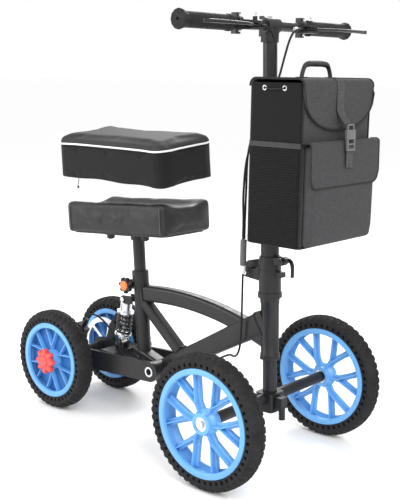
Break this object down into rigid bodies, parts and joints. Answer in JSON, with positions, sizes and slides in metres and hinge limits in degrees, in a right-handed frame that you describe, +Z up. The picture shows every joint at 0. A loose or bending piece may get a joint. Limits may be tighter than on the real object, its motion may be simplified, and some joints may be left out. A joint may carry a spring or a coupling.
{
  "type": "knee scooter",
  "caption": "Four-wheeled knee scooter with steered front axle, folding column, sprung rear arm, height-adjustable knee pad with lift-off cover, hand brakes and front bag.",
  "frame": {"origin": "on the ground, under the middle of the whole scooter's bounding box", "axes": "+X forward, +Y to the rider's left, +Z up"},
  "size_m": [0.96, 0.6, 1.0199],
  "materials": {
    "frame_paint": "satin black paint",
    "black_metal": "black coated",
    "steel": "bright",
    "black_plastic": "matte",
    "cable_rubber": "semi-matte",
    "tyre": "matte rubber",
    "rim_blue": "satin plastic",
    "grip_rubber": "matte",
    "bag_fabric": "woven grey polyester",
    "webbing": "woven webbing",
    "pad_vinyl": "soft polyurethane skin",
    "cover_fabric": "smooth black knit",
    "knob_red": "moulded"
  },
  "bodies": {
    "frame": {"main_frame": "frame_paint", "head_bearings": "black_plastic", "swing_pivot": "steel", "seat_clamp": "black_metal", "shock_top_bolt": "steel", "brake_cable_lower": "cable_rubber"},
    "steering": {"steering_tube": "frame_paint", "axle_beam": "black_metal", "front_axle_bolts": "steel", "fold_base": "frame_paint", "fold_pin": "steel"},
    "front_wheel_left": {"front_tyre_left": "tyre", "front_rim_left": "rim_blue", "front_bearings_left": "steel"},
    "front_wheel_right": {"front_tyre_right": "tyre", "front_rim_right": "rim_blue", "front_bearings_right": "steel"},
    "column": {"column_foot": "frame_paint", "column_tube": "frame_paint", "stem_clamp": "black_metal", "bag_body": "bag_fabric", "bag_pocket": "bag_fabric", "bag_brackets": "black_metal", "cable_splitter": "cable_rubber"},
    "fold_lever": {"fold_lever": "black_metal"},
    "stem": {"stem_tube": "frame_paint", "handlebar_clamp": "black_metal", "handlebar": "frame_paint", "grips": "grip_rubber", "lever_brackets": "black_metal", "lever_cables": "cable_rubber"},
    "brake_lever_left": {"brake_lever_left": "black_metal"},
    "brake_lever_right": {"brake_lever_right": "black_metal"},
    "bag_flap": {"bag_flap": "bag_fabric", "bag_handle": "webbing", "bag_strap": "webbing"},
    "seat": {"seat_post": "frame_paint", "seat_bracket": "black_metal", "seat_pan": "black_plastic", "seat_pad": "pad_vinyl", "seat_bolts": "black_plastic"},
    "pad_cover": {"pad_cover": "cover_fabric"},
    "seat_knob": {"seat_knob": "black_plastic"},
    "rear_arm": {"swing_arm": "frame_paint", "rear_axle": "steel", "brake_calipers": "black_metal", "shock_bottom_bolt": "steel"},
    "rear_wheel_left": {"rear_tyre_left": "tyre", "rear_rim_left": "rim_blue", "rear_bearings_left": "steel", "brake_disc_left": "steel"},
    "rear_wheel_right": {"rear_tyre_right": "tyre", "rear_rim_right": "rim_blue", "rear_bearings_right": "steel", "brake_disc_right": "steel"},
    "drag_knob_left": {"drag_knob_left": "knob_red"},
    "drag_knob_right": {"drag_knob_right": "knob_red"},
    "shock_upper": {"shock_body": "steel", "shock_spring": "black_metal"},
    "shock_lower": {"shock_rod": "steel"}
  },
  "joints": [
    {"name": "steer", "type": "hinge", "parent": "frame", "child": "steering", "pos_m": [0.289, 0, 0.1525], "axis": [-0.0366, 0, 0.9993], "range_deg": [-40, 40]},
    {"name": "front_spin_left", "type": "hinge", "parent": "steering", "child": "front_wheel_left", "pos_m": [0.289, 0.226, 0.1525], "axis": [0, 1, 0], "continuous": true},
    {"name": "front_spin_right", "type": "hinge", "parent": "steering", "child": "front_wheel_right", "pos_m": [0.289, -0.226, 0.1525], "axis": [0, 1, 0], "continuous": true},
    {"name": "fold", "type": "hinge", "parent": "steering", "child": "column", "pos_m": [0.21836, 0, 0.44161], "axis": [0, 1, 0], "range_deg": [-26, 0]},
    {"name": "fold_lever_swing", "type": "hinge", "parent": "column", "child": "fold_lever", "pos_m": [0.31405, 0, 0.47914], "axis": [0, 1, 0], "range_deg": [-100, 0]},
    {"name": "stem_height", "type": "slide", "parent": "column", "child": "stem", "axis": [-0.0366, 0, 0.9993], "range_m": [-0.05, 0.08], "deforming": ["lever_cables"]},
    {"name": "brake_left", "type": "hinge", "parent": "stem", "child": "brake_lever_left", "pos_m": [0.294, 0.092, 0.99393], "axis": [0, 0, 1], "range_deg": [0, 10], "stiffness_Nm_per_rad": 2, "springref_deg": -8.59},
    {"name": "brake_right", "type": "hinge", "parent": "stem", "child": "brake_lever_right", "pos_m": [0.294, -0.092, 0.99393], "axis": [0, 0, -1], "range_deg": [0, 10], "stiffness_Nm_per_rad": 2, "springref_deg": -8.59},
    {"name": "bag_lid", "type": "hinge", "parent": "column", "child": "bag_flap", "pos_m": [0.311, 0, 0.883], "axis": [0, 1, 0], "range_deg": [-60, 0]},
    {"name": "seat_height", "type": "slide", "parent": "frame", "child": "seat", "axis": [-0.0785, 0, 0.9969], "range_m": [-0.07, 0.06]},
    {"name": "cover_lift", "type": "slide", "parent": "seat", "child": "pad_cover", "axis": [-0.0785, 0, 0.9969], "range_m": [-0.126, 0.05]},
    {"name": "seat_knob_turn", "type": "hinge", "parent": "frame", "child": "seat_knob", "pos_m": [-0.16285, 0, 0.3503], "axis": [0, 1, 0], "range_deg": [-180, 180]},
    {"name": "rear_swing", "type": "hinge", "parent": "frame", "child": "rear_arm", "pos_m": [-0.047, 0, 0.15], "axis": [0, 1, 0], "range_deg": [0, 6], "stiffness_Nm_per_rad": 700, "springref_deg": -4.01, "deforming": ["brake_cable_lower"]},
    {"name": "shock_tilt", "type": "hinge", "parent": "frame", "child": "shock_upper", "pos_m": [-0.187, 0, 0.307], "axis": [0, 1, 0], "range_deg": [-2, 2]},
    {"name": "shock_stroke", "type": "slide", "parent": "shock_upper", "child": "shock_lower", "axis": [0.1471, 0, 0.9891], "range_m": [-0.001, 0.02], "deforming": ["shock_spring"]},
    {"name": "rear_spin_left", "type": "hinge", "parent": "rear_arm", "child": "rear_wheel_left", "pos_m": [-0.348, 0.1105, 0.132], "axis": [0, 1, 0], "continuous": true},
    {"name": "rear_spin_right", "type": "hinge", "parent": "rear_arm", "child": "rear_wheel_right", "pos_m": [-0.348, -0.1105, 0.132], "axis": [0, 1, 0], "continuous": true},
    {"name": "drag_turn_left", "type": "hinge", "parent": "rear_arm", "child": "drag_knob_left", "pos_m": [-0.348, 0.14, 0.132], "axis": [0, 1, 0], "range_deg": [-180, 180]},
    {"name": "drag_turn_right", "type": "hinge", "parent": "rear_arm", "child": "drag_knob_right", "pos_m": [-0.348, -0.14, 0.132], "axis": [0, 1, 0], "range_deg": [-180, 180]}
  ],
  "couplings": [
    {"joint": "shock_tilt", "follows": "rear_swing", "ratio": -0.19701},
    {"joint": "shock_stroke", "follows": "rear_swing", "m_per_rad": 0.16042}
  ]
}
